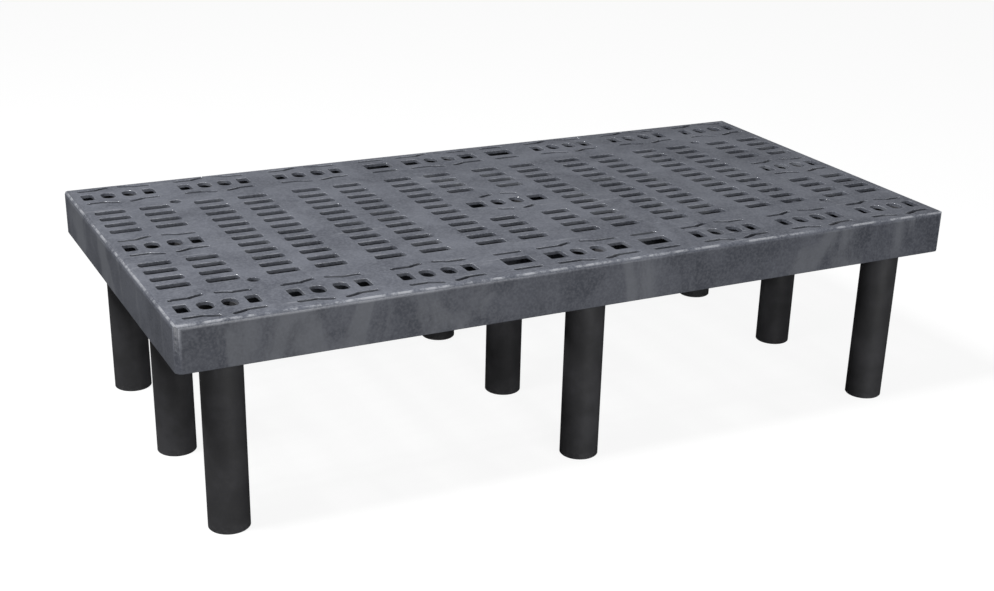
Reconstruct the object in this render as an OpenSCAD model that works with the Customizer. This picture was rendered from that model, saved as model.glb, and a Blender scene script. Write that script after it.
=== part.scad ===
// Vented-top dunnage rack: a low storage platform with one moulded plastic deck on nine
// pipe legs. The legs push up into round sockets under the deck and seat on the underside
// of its top plate. Units are millimetres. X runs along the deck, Y across it, Z up, and
// the origin is on the floor under the middle of the deck.

/* [Overall] */
// Length of the deck
deck_length = 1219.2; // [900:0.1:1600]
// Depth of the deck, front to back
deck_depth = 609.6; // [480:0.1:900]
// Height of the deck's top above the floor
rack_height = 317.5; // [200:0.5:600]

/* [Deck shell] */
// Depth of the deck's outer skirt, top to lower edge
skirt_depth = 66; // [45:0.5:90]
// Thickness of the top plate
plate_thickness = 5; // [4:0.1:10]
// Thickness of the skirt wall
skirt_wall = 6.5; // [4:0.5:9]
// Radius of the rounded edge between top and skirt
top_edge_radius = 8; // [3:0.5:9]
// Radius of the deck's upright corners
corner_radius = 10; // [9:0.5:20]

/* [Underside ribs] */
// Thickness of the ribs under the plate
rib_wall = 5; // [3:0.5:8]
// Height of the lengthwise ribs' lower edge above the skirt's lower edge
long_rib_rise = 19; // [4:0.5:30]
// Height of the crosswise ribs' lower edge above the skirt's lower edge
cross_rib_rise = 13; // [4:0.5:30]

/* [Vent slots] */
// Length of a vent slot
slot_length = 44.5; // [30:0.1:54]
// Width of a vent slot
slot_width = 16; // [8:0.1:20]
// Radius of a slot's corners
slot_corner = 4; // [1.5:0.5:4]
// Distance between slot rows
row_pitch = 30.5; // [27:0.5:40]
// Distance between the two columns of a pair
column_pitch = 68; // [62:0.5:80]
// Distance between neighbouring pairs of columns
group_pitch = 155; // [148:0.5:200]
// Distance between the two columns of the end pair
end_column_pitch = 66; // [62:0.5:70]

/* [Legs] */
// Outer diameter of a leg tube
leg_diameter = 57; // [40:0.1:70]
// Wall thickness of a leg tube
leg_wall = 4.5; // [2:0.1:8]
// Chamfer on the outer edge of a leg's two ends
leg_chamfer = 0.8; // [0.2:0.1:1.5]

/* [Leg sockets] */
// Radial gap between a leg and its socket
socket_clearance = 0.1; // [0.05:0.05:0.3]
// Wall thickness of a socket ring
socket_wall = 5.5; // [3.5:0.1:5.5]
// Height of a socket's mouth above the skirt's lower edge
socket_rise = 5; // [0:0.5:20]
// Flare at the mouth of a socket
socket_lead_in = 1.5; // [0.5:0.1:2.5]
// Land between the deck's end and the nearest column of openings
end_edge_land = 16.75; // [12:0.25:30]
// Land between the deck's front or back edge and the nearest openings
side_edge_land = 9.3; // [9:0.1:20]

/* [Socket openings] */
// Depth of the holes over and beside a socket, front to back
socket_hole_depth = 28; // [18:0.5:32]
// Solid bar between the two inner holes over a socket
inner_hole_bar = 12; // [8:0.5:18]
// Distance from an inner hole's far end to the wall of the socket
inner_hole_margin = 2.6; // [1:0.1:8]
// Corner radius of the inner holes
inner_hole_corner = 9.5; // [2:0.1:9.5]
// Distance from the outside of a socket ring to the outer hole beside it
outer_hole_gap = 3.9; // [2:0.1:8]
// Corner radius of the outer holes
outer_hole_corner = 3; // [1:0.5:4]
// Width of the slots that curve around a socket
curved_slot_width = 7; // [3:0.5:8]
// Radius of the bend in a curved slot, on its middle line
curved_slot_radius = 60; // [45:1:90]
// Distance from the outside of a socket ring to the curved slots' middle line
curved_slot_gap = 5.9; // [4.5:0.1:9]
// Distance a curved slot's straight part stands in from its crown
curved_slot_drop = 7.5; // [4:0.5:9]
// Solid bridge between two curved slots at a socket's middle
curved_slot_bridge = 14; // [10:0.5:20]

/* [Tie-down holes] */
// Diameter of the four small round holes
tie_hole_diameter = 16.5; // [8:0.5:18]
// Distance from an end socket to its tie-down hole along the deck
tie_hole_inset_x = 69; // [67:0.5:76]
// Distance from a side socket row to the tie-down holes
tie_hole_inset_y = 67; // [60:0.5:72]

/* [Hidden] */
$fn = 48;
past = 1; // how far a cut runs past the face it opens
end_step = 0.05; // how far a curved slot's round end stands in from its sides
row_land = 18; // least land between the last row of slots and the side sockets' openings
middle_socket_land = 8; // least land between a row of slots and a middle socket's openings
rib_land = 6; // land between the last lengthwise rib and the openings beside it

deck_colour = "#5c5f6b";
leg_colour = "#2d2d2f";

plate_bottom = rack_height - plate_thickness;
skirt_bottom = rack_height - skirt_depth;

socket_depth = skirt_depth - plate_thickness - socket_rise;
long_rib_depth = skirt_depth - plate_thickness - long_rib_rise;
cross_rib_depth = skirt_depth - plate_thickness - cross_rib_rise;

// A socket and the openings over it and around it follow the size of the leg.
socket_bore_radius = leg_diameter / 2 + socket_clearance;
socket_ring_radius = socket_bore_radius + socket_wall;
inner_hole_end = socket_bore_radius - inner_hole_margin;
outer_hole_start = socket_ring_radius + outer_hole_gap;
curved_slot_crown = socket_ring_radius + curved_slot_gap;
curved_slot_reach = curved_slot_crown + curved_slot_width / 2;

// A socket's outer holes reach as far as the slots of the two columns it stands between.
function half_span(pitch) = pitch / 2 + slot_length / 2;

// Where the sockets stand: the end and side sockets follow the deck's size.
end_socket_x = deck_length / 2 - end_edge_land - half_span(end_column_pitch);
side_socket_y = deck_depth / 2 - side_edge_land - curved_slot_reach;

// Columns of slots come in pairs, one pair to a group. As many groups fit between the
// middle and the end pair as leave a full land beside the end pair.
slot_land = column_pitch - slot_length;
end_pair_inner_edge = end_socket_x - half_span(end_column_pitch);
group_count = floor((end_pair_inner_edge - slot_land / 2) / group_pitch);
group_centres = [for (i = [0:group_count - 1]) (i + 0.5) * group_pitch];
centre_column_x = group_centres[0] - column_pitch / 2;
single_column_x = group_centres[0] + column_pitch / 2;
end_columns = [for (s = [-1, 1]) end_socket_x + s * end_column_pitch / 2];
group_columns = [for (c = group_centres, s = [-1, 1]) c + s * column_pitch / 2];
spare_sockets = [for (i = [1:1:group_count - 1]) group_centres[i]];

// Rows of slots fill the depth between the front and back socket rows, and stop short of
// the sockets that stand on the middle line.
row_reach = side_socket_y - curved_slot_reach - row_land - slot_width / 2;
row_count = floor(row_reach / row_pitch + 0.5);
rows = [for (i = [0:row_count - 1]) (i + 0.5) * row_pitch];
outer_rows = [for (y = rows) if (y - slot_width / 2 > curved_slot_reach + middle_socket_land) y];

centre_half_span = centre_column_x + slot_length / 2;

// Tie-down holes stand in the land beside the end pair.
tie_hole_x = end_socket_x - tie_hole_inset_x;
tie_hole_y = side_socket_y - tie_hole_inset_y;

// Crosswise ribs stand under the lands: between groups, between the columns of a pair, and
// beside the tie-down holes. The ones at the sockets pass under the curved slots' bridges.
group_lands = [for (i = [1:1:group_count - 1]) i * group_pitch];
last_slot_end = group_centres[group_count - 1] + half_span(column_pitch);
tie_hole_rib = (last_slot_end + tie_hole_x - tie_hole_diameter / 2) / 2;
cross_ribs = concat([0], group_centres, group_lands, [tie_hole_rib, end_socket_x]);

// Lengthwise ribs stand under every second land between rows, and behind the curved slots.
// The one on the middle line runs only between the middle sockets.
row_land_ribs = [for (i = [2:2:row_count - 1]) i * row_pitch];
shelf_rib = side_socket_y - curved_slot_reach - rib_land - rib_wall / 2;
long_ribs = concat(row_land_ribs, [shelf_rib]);

module rounded_rectangle(length, depth, radius) {
    union() {
        square([length - 2 * radius, depth], center = true);
        square([length, depth - 2 * radius], center = true);
        for (x = [-1, 1], y = [-1, 1])
            translate([x * (length / 2 - radius), y * (depth / 2 - radius)])
                circle(r = radius);
    }
}

// Turns a shape drawn for the back right quarter to face another quarter.
module facing(sx, sy) {
    mirror([sx < 0 ? 1 : 0, 0]) mirror([0, sy < 0 ? 1 : 0]) children();
}

// Copies a shape to all four quarters of the deck.
module four_ways(x, y) {
    for (sx = [-1, 1], sy = [-1, 1])
        translate([sx * x, sy * y]) facing(sx, sy) children();
}

module vent_slot() {
    rounded_rectangle(slot_length, slot_width, slot_corner);
}

// The round end of a curved slot, a hair narrower than the slot so that its circle crosses
// the slot's sides instead of only touching them.
module slot_end(x, y) {
    translate([x, y]) circle(d = curved_slot_width - 2 * end_step);
}

// A straight slot of a curved slot's width, from x = start to x = end.
module straight_slot(start, end) {
    first = start + curved_slot_width / 2;
    last = end - curved_slot_width / 2;
    translate([first, -curved_slot_width / 2]) square([last - first, curved_slot_width]);
    for (x = [first, last]) slot_end(x, 0);
}

// One quarter of the slots around a socket: a straight run along X that bends out around
// the socket's ring. arm is how far the straight run reaches from the middle.
module curved_slot(arm) {
    inner = curved_slot_radius - curved_slot_width / 2;
    outer = curved_slot_radius + curved_slot_width / 2;
    bridge_angle = asin((curved_slot_bridge + curved_slot_width) / 2 / curved_slot_radius);
    bend_angle = acos(1 - curved_slot_drop / curved_slot_radius);
    bend_x = curved_slot_radius * sin(bend_angle);
    far = 2 * curved_slot_radius;
    translate([0, curved_slot_crown - curved_slot_radius]) {
        intersection() {
            difference() {
                circle(r = outer);
                circle(r = inner);
            }
            polygon([[0, 0],
                     [far * sin(bridge_angle), far * cos(bridge_angle)],
                     [far * sin(bend_angle), far * cos(bend_angle)]]);
        }
        slot_end(curved_slot_radius * sin(bridge_angle), curved_slot_radius * cos(bridge_angle));
    }
    translate([0, curved_slot_crown - curved_slot_drop])
        if (arm == 0) slot_end(bend_x, 0);
        else straight_slot(bend_x - curved_slot_width / 2, arm);
}

// A hole of the socket rows, from x = start to x = end.
module socket_hole(start, end, corner) {
    translate([(start + end) / 2, 0]) rounded_rectangle(end - start, socket_hole_depth, corner);
}

// The openings over one socket. reach is how far the outer holes extend from its middle,
// and arm how far the straight parts of the curved slots do.
module socket_openings(reach, arm) {
    for (s = [-1, 1], t = [-1, 1]) facing(s, t) curved_slot(arm);
    for (s = [-1, 1]) facing(s, 1) {
        socket_hole(inner_hole_bar / 2, inner_hole_end, inner_hole_corner);
        socket_hole(outer_hole_start, reach, outer_hole_corner);
    }
}

module deck_openings() {
    // full columns
    for (x = [for (i = [1:len(group_columns) - 1]) group_columns[i]], y = rows)
        four_ways(x, y) vent_slot();
    // columns that a middle socket interrupts
    for (x = concat([centre_column_x], end_columns), y = outer_rows)
        four_ways(x, y) vent_slot();
    // end sockets, in three rows
    for (y = [-side_socket_y, 0, side_socket_y], s = [-1, 1])
        translate([s * end_socket_x, y])
            socket_openings(half_span(end_column_pitch), half_span(end_column_pitch));
    // spare sockets of the front and back rows
    for (x = spare_sockets, y = [-side_socket_y, side_socket_y], s = [-1, 1])
        translate([s * x, y]) socket_openings(half_span(column_pitch), half_span(column_pitch));
    // centre sockets of the front and back rows, and the one in the middle of the deck
    for (y = [-side_socket_y, side_socket_y])
        translate([0, y]) socket_openings(centre_half_span, centre_half_span);
    socket_openings(centre_half_span, 0);
    // the single column's cells in the front and back rows
    four_ways(single_column_x, side_socket_y) {
        rounded_rectangle(slot_length, socket_hole_depth, outer_hole_corner);
        for (t = [-1, 1]) translate([0, t * (curved_slot_crown - curved_slot_drop)])
            straight_slot(-slot_length / 2, slot_length / 2);
    }
    // tie-down holes
    four_ways(tie_hole_x, tie_hole_y) circle(d = tie_hole_diameter);
}

module socket_centres() {
    for (y = [-side_socket_y, side_socket_y], s = [-1, 1], x = concat([end_socket_x], spare_sockets))
        translate([s * x, y]) children();
    for (y = [-side_socket_y, 0, side_socket_y]) translate([0, y]) children();
    for (s = [-1, 1]) translate([s * end_socket_x, 0]) children();
}

// The deck's outer body: a plan with round corners, whose upper edge is rounded all round.
module outer_body() {
    intersection() {
        translate([0, 0, skirt_bottom]) linear_extrude(skirt_depth)
            rounded_rectangle(deck_length, deck_depth, corner_radius);
        rotate([90, 0, 90]) linear_extrude(deck_length + 2 * past, center = true)
            rounded_top(deck_depth);
        rotate([90, 0, 0]) linear_extrude(deck_depth + 2 * past, center = true)
            rounded_top(deck_length);
    }
}

// A cross section of the deck's outside, drawn with its height along Y.
module rounded_top(width) {
    straight = width / 2 - top_edge_radius;
    translate([-width / 2, skirt_bottom - past])
        square([width, skirt_depth - top_edge_radius + past]);
    translate([-straight, rack_height - 2 * top_edge_radius])
        square([2 * straight, 2 * top_edge_radius]);
    for (s = [-1, 1])
        translate([s * straight, rack_height - top_edge_radius]) circle(r = top_edge_radius);
}

module rib(length, depth, height) {
    translate([-length / 2, -depth / 2, 0]) cube([length, depth, height]);
}

module deck() color(deck_colour) {
    inner_length = deck_length - 2 * skirt_wall;
    inner_depth = deck_depth - 2 * skirt_wall;
    bore_floor = plate_bottom - socket_depth;
    difference() {
        union() {
            difference() {
                outer_body();
                translate([0, 0, skirt_bottom - past])
                    linear_extrude(skirt_depth - plate_thickness + past)
                        rounded_rectangle(inner_length, inner_depth, corner_radius - skirt_wall);
            }
            for (s = [-1, 1], y = long_ribs)
                translate([0, s * y, plate_bottom - long_rib_depth])
                    rib(inner_length + 2 * past, rib_wall, long_rib_depth);
            for (s = [-1, 1])
                translate([s * (cross_ribs[1] + tie_hole_rib) / 2, 0, plate_bottom - long_rib_depth])
                    rib(tie_hole_rib - cross_ribs[1], rib_wall, long_rib_depth);
            for (x = concat(cross_ribs, [for (i = [1:len(cross_ribs) - 1]) -cross_ribs[i]]))
                translate([x, 0, plate_bottom - cross_rib_depth])
                    rib(rib_wall, inner_depth + 2 * past, cross_rib_depth);
            // socket rings
            socket_centres() translate([0, 0, plate_bottom - socket_depth])
                cylinder(h = socket_depth, r = socket_ring_radius);
        }
        socket_centres() {
            translate([0, 0, bore_floor - past])
                cylinder(h = socket_depth + past, r = socket_bore_radius);
            translate([0, 0, bore_floor])
                cylinder(h = socket_lead_in, r1 = socket_bore_radius + socket_lead_in / 2,
                         r2 = socket_bore_radius);
        }
        translate([0, 0, plate_bottom]) linear_extrude(plate_thickness + past) deck_openings();
    }
}

// A leg tube, cut square at both ends, with its sharp outer edges taken off.
module leg(x, y) color(leg_colour) translate([x, y, 0]) {
    radius = leg_diameter / 2;
    difference() {
        rotate_extrude() polygon([
            [0, 0],
            [radius - leg_chamfer, 0],
            [radius, leg_chamfer],
            [radius, plate_bottom - leg_chamfer],
            [radius - leg_chamfer, plate_bottom],
            [0, plate_bottom]]);
        translate([0, 0, -past]) cylinder(h = plate_bottom + 2 * past, r = radius - leg_wall);
    }
}

deck();
leg(-end_socket_x, -side_socket_y);  // leg_front_left
leg(0, -side_socket_y);  // leg_front_centre
leg(end_socket_x, -side_socket_y);  // leg_front_right
leg(-end_socket_x, 0);  // leg_middle_left
leg(0, 0);  // leg_middle_centre
leg(end_socket_x, 0);  // leg_middle_right
leg(-end_socket_x, side_socket_y);  // leg_back_left
leg(0, side_socket_y);  // leg_back_centre
leg(end_socket_x, side_socket_y);  // leg_back_right
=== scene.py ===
# A vented-top dunnage rack: one moulded plastic deck with its openings, standing on nine
# pieces of plastic pipe pushed up into sockets under it.
import math

import bmesh
import bpy
from mathutils import Matrix, Vector
from mathutils.geometry import delaunay_2d_cdt


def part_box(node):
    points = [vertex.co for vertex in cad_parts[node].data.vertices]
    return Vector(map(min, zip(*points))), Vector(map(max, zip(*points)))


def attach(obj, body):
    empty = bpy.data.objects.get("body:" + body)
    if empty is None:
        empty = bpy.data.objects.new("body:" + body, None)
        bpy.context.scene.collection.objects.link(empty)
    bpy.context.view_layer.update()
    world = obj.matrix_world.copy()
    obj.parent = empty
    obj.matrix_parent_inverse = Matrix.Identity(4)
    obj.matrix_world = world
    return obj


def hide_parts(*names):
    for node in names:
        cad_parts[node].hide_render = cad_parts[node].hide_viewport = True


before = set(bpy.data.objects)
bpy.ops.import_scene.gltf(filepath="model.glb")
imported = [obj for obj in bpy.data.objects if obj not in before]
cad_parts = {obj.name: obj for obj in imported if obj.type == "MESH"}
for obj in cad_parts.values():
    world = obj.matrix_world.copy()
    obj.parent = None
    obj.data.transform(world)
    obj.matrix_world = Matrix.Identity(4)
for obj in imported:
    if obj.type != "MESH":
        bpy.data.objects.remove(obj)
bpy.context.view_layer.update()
scene = bpy.context.scene

# ---------------------------------------------------------------------------------------
# The deck is one structural-foam moulding in grey-blue polyethylene: a top plate full of
# openings, a skirt all round, ribs and leg sockets underneath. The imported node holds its
# shape, and the mould's radii come here: the lip of every opening and the skirt's edge.
# It is worked a thousand times larger, because tools at full size lose edges this short.
enlarged = 1000
deck_low, deck_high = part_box("deck")
deck_top = deck_high.z * enlarged
skirt_bottom = deck_low.z * enlarged
lip_radius = 0.001 * enlarged
lip_segments = 3
skirt_edge_radius = 0.0012 * enlarged
skirt_edge_segments = 2
same_place = 0.00001 * enlarged
step_in_slot_ends = 0.00012 * enlarged
height_slack = 0.000002 * enlarged
inside_outline = 1
closest_points = 0.000001
smooth_steps = 31


def lies_at(face, height):
    """Whether a face is flat at that height."""
    return all(abs(v.co.z - height) < height_slack for v in face.verts)


def is_wall(face):
    return abs(face.normal.z) < 0.01


def relay_flat(shape, height, facing):
    """Takes away the flat faces at that height and lays them again inside their outline.
    The fill operator loses its way among this many holes, so Delaunay triangles are laid."""
    flat = [f for f in shape.faces if lies_at(f, height)]
    bmesh.ops.delete(shape, geom=flat, context="FACES_ONLY")
    bmesh.ops.delete(shape, geom=[e for e in shape.edges if not e.link_faces], context="EDGES")
    bmesh.ops.delete(shape, geom=[v for v in shape.verts if not v.link_edges], context="VERTS")
    outline = [e for e in shape.edges if len(e.link_faces) == 1]
    rim = list({v: None for e in outline for v in e.verts})
    number = {v: i for i, v in enumerate(rim)}
    laid = delaunay_2d_cdt([v.co.xy for v in rim], [[number[v] for v in e.verts] for e in outline],
                           [], inside_outline, closest_points)
    tiles = [[rim[laid[3][i][0]] for i in corners[::facing]] for corners in laid[2]]
    beside = {}
    for tile in tiles:
        for i in range(3):
            beside.setdefault(frozenset((tile[i], tile[i - 1])), []).append(tile)
    # Tiles spread inwards from the outermost edges and stop at the openings.
    fences = {frozenset(e.verts) for e in outline}
    spreading = [tiles_there[0] for tiles_there in beside.values() if len(tiles_there) == 1]
    land = {id(tile): tile for tile in spreading}
    while spreading:
        tile = spreading.pop()
        for i in range(3):
            side = frozenset((tile[i], tile[i - 1]))
            for other in [] if side in fences else beside[side]:
                if id(other) not in land:
                    land[id(other)] = other
                    spreading.append(other)
    for tile in land.values():
        shape.faces.new(tile)
    shape.normal_update()


def round_over(shape, height, radius, segments, facing):
    """Rounds every edge where a wall meets the flat at that height."""
    relay_flat(shape, height, facing)
    edges = [e for e in shape.edges
             if sum(lies_at(f, height) for f in e.link_faces) == 1
             and any(is_wall(f) for f in e.link_faces)]
    bmesh.ops.bevel(shape, geom=edges, offset=radius, offset_type="OFFSET", segments=segments,
                    profile=0.5, affect="EDGES", material=-1, clamp_overlap=False,
                    loop_slide=False)


def finish_piece(shape, name, smooth_below):
    """Turns a bmesh into a piece, smooth except over edges sharper than smooth_below degrees."""
    for face in shape.faces:
        face.smooth = True
    for edge in shape.edges:
        edge.smooth = (len(edge.link_faces) == 2
                       and edge.calc_face_angle() < math.radians(smooth_below))
    mesh = bpy.data.meshes.new(name)
    shape.to_mesh(mesh)
    shape.free()
    piece = bpy.data.objects.new(name, mesh)
    scene.collection.objects.link(piece)
    flats = piece.modifiers.new("flats_stay_flat", "WEIGHTED_NORMAL")
    flats.keep_sharp = True
    flats.weight = 100
    return piece


moulding = bmesh.new()
moulding.from_mesh(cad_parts["deck"].data)
bmesh.ops.scale(moulding, vec=[enlarged] * 3, verts=moulding.verts)
bmesh.ops.remove_doubles(moulding, verts=moulding.verts, dist=same_place)
bmesh.ops.remove_doubles(moulding, verts=moulding.verts, dist=step_in_slot_ends)
wall_seams = [e for e in moulding.edges
              if all(is_wall(f) for f in e.link_faces)
              and e.calc_face_angle() < math.radians(0.3)]
bmesh.ops.dissolve_edges(moulding, edges=wall_seams, use_verts=False)
round_over(moulding, deck_top, lip_radius, lip_segments, 1)
round_over(moulding, skirt_bottom, skirt_edge_radius, skirt_edge_segments, -1)
bmesh.ops.scale(moulding, vec=[1 / enlarged] * 3, verts=moulding.verts)
# The scaling can change a last digit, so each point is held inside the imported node's box.
for vert in moulding.verts:
    vert.co = [min(max(c, low), high) for c, low, high in zip(vert.co, deck_low, deck_high)]
deck = finish_piece(moulding, "deck_moulding", smooth_steps)


def paint(hex_colour):
    """An sRGB hex colour as the linear colour that a shader takes."""
    parts = [int(hex_colour[i:i + 2], 16) / 255 for i in (1, 3, 5)]
    return [c / 12.92 if c <= 0.04045 else ((c + 0.055) / 1.055) ** 2.4 for c in parts] + [1]


def add(tree, kind, output, settings=None, **inputs):
    """Adds a node with its settings, links or sets its inputs (i6 is number 6), gives an output."""
    node = tree.nodes.new(kind)
    for name, value in (settings or {}).items():
        setattr(node, name, value)
    for name, value in inputs.items():
        numbered = name[0] == "i" and name[1:].isdigit()
        socket = node.inputs[int(name[1:]) if numbered else name.replace("_", " ")]
        if isinstance(value, bpy.types.NodeSocket):
            tree.links.new(value, socket)
        else:
            socket.default_value = value
    return node.outputs[output]


def new_finish(name):
    """A new material, its node tree, its shader and the place on the piece it colours."""
    finish = bpy.data.materials.new(name)
    finish.use_nodes = True
    tree = finish.node_tree
    return finish, tree, tree.nodes["Principled BSDF"], add(tree, "ShaderNodeTexCoord", "Object")


# Structural-foam polyethylene, moulded: the gas in it leaves a satin skin with broad clouds,
# a fine grain, and pale flow swirls that run down the skirt. Its edges rub pale, and the pale
# on the lips of the openings is partly wear and partly a painted glint highlight.
foam, tree, shader, place = new_finish("structural_foam_polyethylene_moulded")
upward = add(tree, "ShaderNodeSeparateXYZ", "Z",
             Vector=add(tree, "ShaderNodeNewGeometry", "Normal"))
smooth = {"interpolation_type": "SMOOTHSTEP"}
multiply, largest = {"operation": "MULTIPLY"}, {"operation": "MAXIMUM"}
colours = {"data_type": "RGBA"}
# Clouds 90 mm across, from the skin's darkest to its palest grey-blue.
clouds = add(tree, "ShaderNodeTexNoise", "Fac", Vector=place, Scale=11, Detail=4, Roughness=0.6,
             Distortion=0.8)
clouds = add(tree, "ShaderNodeMapRange", "Result", smooth, Value=clouds, From_Min=0.3, From_Max=0.7)
colour = add(tree, "ShaderNodeMix", 2, colours, i0=clouds, i6=paint("#484b54"), i7=paint("#61646d"))
# Swirls 100 mm apart, drawn out to 300 mm down the skirt, with one edge sharper.
drawn_out = add(tree, "ShaderNodeMapping", "Vector", Vector=place, Rotation=(0.12, 0.2, 0),
                Scale=(1, 1, 0.33))
swirl = add(tree, "ShaderNodeTexNoise", "Fac", Vector=drawn_out, Scale=10, Detail=5,
            Roughness=0.55, Distortion=1.2)
swirl = add(tree, "ShaderNodeMapRange", "Result", smooth, Value=swirl, From_Min=0.52, From_Max=0.64,
            To_Max=0.55)
upright = add(tree, "ShaderNodeMapRange", "Result", smooth, Value=upward, From_Min=0.6,
              From_Max=0.1)
colour = add(tree, "ShaderNodeMix", 2, colours, i6=colour, i7=paint("#83868c"),
             i0=add(tree, "ShaderNodeMath", 0, multiply, i0=swirl, i1=upright))
# Grain 3 mm across, coarser than the real 1 mm so that it shows.
grain = add(tree, "ShaderNodeTexNoise", "Fac", Vector=place, Scale=310, Detail=2)
grain = add(tree, "ShaderNodeMapRange", "Result", smooth, Value=grain, From_Min=0.3, From_Max=0.75,
            To_Max=0.45)
colour = add(tree, "ShaderNodeMix", 2, colours, i0=grain, i6=colour, i7=paint("#7d8088"))
# Scuffs: short pale strokes 1 mm wide where goods have been dragged across the top.
dragged = add(tree, "ShaderNodeMapping", "Vector", Vector=place, Rotation=(0, 0, 0.5),
              Scale=(0.05, 1, 1))
scuffs = add(tree, "ShaderNodeTexNoise", "Fac", Vector=dragged, Scale=260, Detail=3, Roughness=0.6)
scuffs = add(tree, "ShaderNodeMapRange", "Result", smooth, Value=scuffs, From_Min=0.6,
             From_Max=0.72, To_Max=0.55)
patches = add(tree, "ShaderNodeTexNoise", "Fac", Vector=place, Scale=7, Detail=3)
patches = add(tree, "ShaderNodeMapRange", "Result", smooth, Value=patches, From_Min=0.48,
              From_Max=0.66)
level = add(tree, "ShaderNodeMapRange", "Result", smooth, Value=upward, From_Min=0.9,
            From_Max=0.99)
patches = add(tree, "ShaderNodeMath", 0, multiply, i0=patches, i1=level)
colour = add(tree, "ShaderNodeMix", 2, colours, i6=colour, i7=paint("#a3a5ab"),
             i0=add(tree, "ShaderNodeMath", 0, multiply, i0=scuffs, i1=patches))
# The rim and the upright corners wear to a broken pale line. The lips are paled almost as much,
# partly as wear and partly as a painted glint highlight in place of the lamp's glints.
across = add(tree, "ShaderNodeVectorMath", 0, {"operation": "ABSOLUTE"}, i0=place)
wear_starts, wear_is_full = 0.008, 0.003
near = [add(tree, "ShaderNodeMapRange", "Result", smooth, From_Min=side - wear_starts,
            From_Max=side - wear_is_full,
            Value=add(tree, "ShaderNodeSeparateXYZ", axis, Vector=across))
        for axis, side in (("X", deck_high.x), ("Y", deck_high.y))]
rim = add(tree, "ShaderNodeMath", 0, largest, i0=near[0], i1=near[1])
corner = add(tree, "ShaderNodeMath", 0, multiply, i0=near[0], i1=near[1])
turned_over = add(tree, "ShaderNodeMapRange", "Result", smooth, Value=upward, From_Min=0.45,
                  From_Max=0.7)
turned_over = add(tree, "ShaderNodeMath", 0, multiply, i0=turned_over,
                  i1=add(tree, "ShaderNodeMapRange", "Result", smooth, Value=upward,
                         From_Min=0.93, From_Max=0.82))
rim = add(tree, "ShaderNodeMath", 0, multiply, i0=rim, i1=turned_over)
breaks = add(tree, "ShaderNodeTexNoise", "Fac", Vector=place, Scale=45, Detail=5, Roughness=0.7)
breaks = add(tree, "ShaderNodeMapRange", "Result", smooth, Value=breaks, From_Min=0.42,
             From_Max=0.6, To_Max=0.6)
# Pale on every lip: partly wear, partly a painted glint highlight, broken by the same noise.
lip_wear_and_painted_glint = add(tree, "ShaderNodeMath", 0, multiply, i0=turned_over, i1=0.9)
wear_and_painted_glint = add(tree, "ShaderNodeMath", 0, largest, i0=lip_wear_and_painted_glint,
           i1=add(tree, "ShaderNodeMath", 0, largest, i0=rim, i1=corner))
wear_and_painted_glint = add(tree, "ShaderNodeMath", 0, multiply, i0=breaks, i1=wear_and_painted_glint)
# The pale colour here is edge wear on the rim and corners, and wear plus painted glint highlight on
# the lips.
colour = add(tree, "ShaderNodeMix", 2, colours, i0=wear_and_painted_glint, i6=colour, i7=paint("#b4b6bb"))
tree.links.new(colour, shader.inputs["Base Color"])
# The skin is satin, matter in blotches 40 mm across, and the lips are polished.
matt = add(tree, "ShaderNodeTexNoise", "Fac", Vector=place, Scale=25, Detail=3)
matt = add(tree, "ShaderNodeMapRange", "Result", smooth, Value=matt, From_Min=0.3, From_Max=0.7,
           To_Min=0.38, To_Max=0.5)
polished = add(tree, "ShaderNodeMapRange", "Result", smooth, Value=upward, From_Min=0.99,
               From_Max=0.93, To_Max=0.3)
polished = add(tree, "ShaderNodeMath", 0, multiply, i0=polished,
               i1=add(tree, "ShaderNodeMapRange", "Result", smooth, Value=upward,
                      From_Min=0.15, From_Max=0.45))
tree.links.new(add(tree, "ShaderNodeMath", 0, {"operation": "SUBTRACT"}, i0=matt, i1=polished),
               shader.inputs["Roughness"])
# Orange peel 3 mm across over waves of 26 mm, coarser than the real peel so that it shows.
peel = add(tree, "ShaderNodeTexNoise", "Fac", Vector=place, Scale=330, Detail=3, Roughness=0.6)
peel = add(tree, "ShaderNodeBump", 0, Strength=0.14, Distance=0.0004, Height=peel)
waves = add(tree, "ShaderNodeTexNoise", "Fac", Vector=place, Scale=38, Detail=2)
tree.links.new(add(tree, "ShaderNodeBump", 0, Strength=0.28, Distance=0.0006, Height=waves,
                   Normal=peel), shader.inputs["Normal"])
deck.data.materials.append(foam)
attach(deck, "root")
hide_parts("deck")

# ---------------------------------------------------------------------------------------
# The legs are nine equal lengths of black plastic pipe, sawn square, with the saw's burr
# taken off both ends. They are a push fit in the deck's sockets.

# Extruded pipe: the die leaves faint lines 2 mm apart along it, with dust in patches of 60 mm.
pipe, tree, shader, place = new_finish("black_pipe_plastic_extruded")
dust = add(tree, "ShaderNodeTexNoise", "Fac", Vector=place, Scale=17, Detail=4, Roughness=0.6)
dust = add(tree, "ShaderNodeMapRange", "Result", smooth, Value=dust, From_Min=0.35, From_Max=0.7)
colour = add(tree, "ShaderNodeMix", 2, colours, i0=dust, i6=paint("#3c3c3e"), i7=paint("#4a4a4d"))
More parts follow.
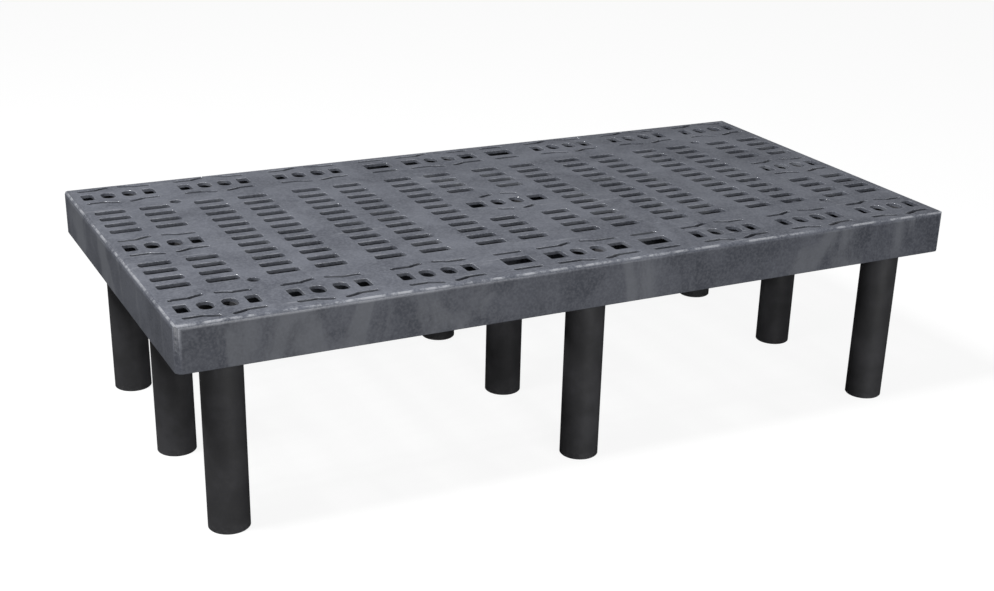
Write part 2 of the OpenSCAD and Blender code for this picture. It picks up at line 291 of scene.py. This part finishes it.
# The feet are scuffed grey over their last 20 mm.
scuffed_height = 0.02
foot = add(tree, "ShaderNodeMapRange", "Result", smooth, From_Min=scuffed_height, From_Max=0,
           To_Max=0.6,
           Value=add(tree, "ShaderNodeSeparateXYZ", "Z", Vector=place))
scuffs = add(tree, "ShaderNodeTexNoise", "Fac", Vector=place, Scale=170, Detail=4, Roughness=0.7)
scuffs = add(tree, "ShaderNodeMapRange", "Result", smooth, Value=scuffs, From_Min=0.45,
             From_Max=0.7)
colour = add(tree, "ShaderNodeMix", 2, colours, i6=colour, i7=paint("#5e5e60"),
             i0=add(tree, "ShaderNodeMath", 0, multiply, i0=foot, i1=scuffs))
tree.links.new(colour, shader.inputs["Base Color"])
sheen = add(tree, "ShaderNodeTexNoise", "Fac", Vector=place, Scale=33, Detail=3)
tree.links.new(add(tree, "ShaderNodeMapRange", "Result", smooth, Value=sheen, From_Min=0.3,
                   From_Max=0.7, To_Min=0.36, To_Max=0.48), shader.inputs["Roughness"])
drawn_out = add(tree, "ShaderNodeMapping", "Vector", Vector=place, Scale=(1, 1, 0.02))
lines = add(tree, "ShaderNodeTexNoise", "Fac", Vector=drawn_out, Scale=420, Detail=3, Roughness=0.6)
tree.links.new(add(tree, "ShaderNodeBump", 0, Strength=0.1, Distance=0.0002, Height=lines),
               shader.inputs["Normal"])
for name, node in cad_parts.items():
    if name.startswith("leg_"):
        node.data.materials.clear()
        node.data.materials.append(pipe)

# ---------------------------------------------------------------------------------------
# The floor is a plain pale sheet that runs out of sight on every side.
floor_shape = bmesh.new()
floor_reach = 12
bmesh.ops.create_grid(floor_shape, x_segments=1, y_segments=1, size=floor_reach)
floor = finish_piece(floor_shape, "floor", smooth_steps)
floor_paint, tree, shader, place = new_finish("pale_floor_paint")
shader.inputs["Base Color"].default_value = paint("#404040")
shader.inputs["Roughness"].default_value = 0.9
pale = add(tree, "ShaderNodeBsdfDiffuse", 0, Color=paint("#6a6a6a"))
glow = add(tree, "ShaderNodeEmission", 0, Color=paint("#ffffff"), Strength=0.9)
lit = add(tree, "ShaderNodeAddShader", 0, i0=pale, i1=glow)
tree.links.new(add(tree, "ShaderNodeMixShader", 0, i0=add(tree, "ShaderNodeLightPath", 0),
                   i1=shader.outputs[0], i2=lit), tree.nodes["Material Output"].inputs["Surface"])
floor.data.materials.append(floor_paint)

# ---------------------------------------------------------------------------------------
# The light is soft from all round, with a small key lamp high on the left that the lips
# glint in, and a large soft box in front for the skirt and the legs.


def lamp(name, size, power, stand, aim):
    """A square soft box that faces aim."""
    light = bpy.data.lights.new(name, "AREA")
    light.shape, light.size, light.energy = "SQUARE", size, power
    box = bpy.data.objects.new(name, light)
    box.location = stand
    box.rotation_euler = (Vector(aim) - Vector(stand)).to_track_quat("-Z", "Y").to_euler()
    scene.collection.objects.link(box)


lamp("key", 0.7, 138, (-1.75, -0.35, 3.3), (0, 0, 0.3))
lamp("front_fill", 2.2, 47, (0.2, -3.2, 0.8), (0, 0, 0.2))
studio = bpy.data.worlds.new("studio")
studio.use_nodes = True
studio.node_tree.nodes["Background"].inputs["Color"].default_value = (1, 1, 1, 1)
studio.node_tree.nodes["Background"].inputs["Strength"].default_value = 0.2
scene.world = studio
scene.view_settings.view_transform = "Standard"

# ---------------------------------------------------------------------------------------
# The camera stands in front and to the left, a little above the deck.
lens = bpy.data.cameras.new("camera")
lens.sensor_width, lens.lens = 36, 55.27
lens.shift_x, lens.shift_y = -0.0261, 0.0743
camera = bpy.data.objects.new("camera", lens)
camera.matrix_world = (Matrix.Translation((-1.0448, -2.0132, 1.0174))
                       @ Matrix.Rotation(math.radians(-28.25), 4, "Z")
                       @ Matrix.Rotation(math.radians(90 - 23.44), 4, "X")
                       @ Matrix.Rotation(math.radians(1.86), 4, "Z"))
scene.collection.objects.link(camera)
scene.camera = camera
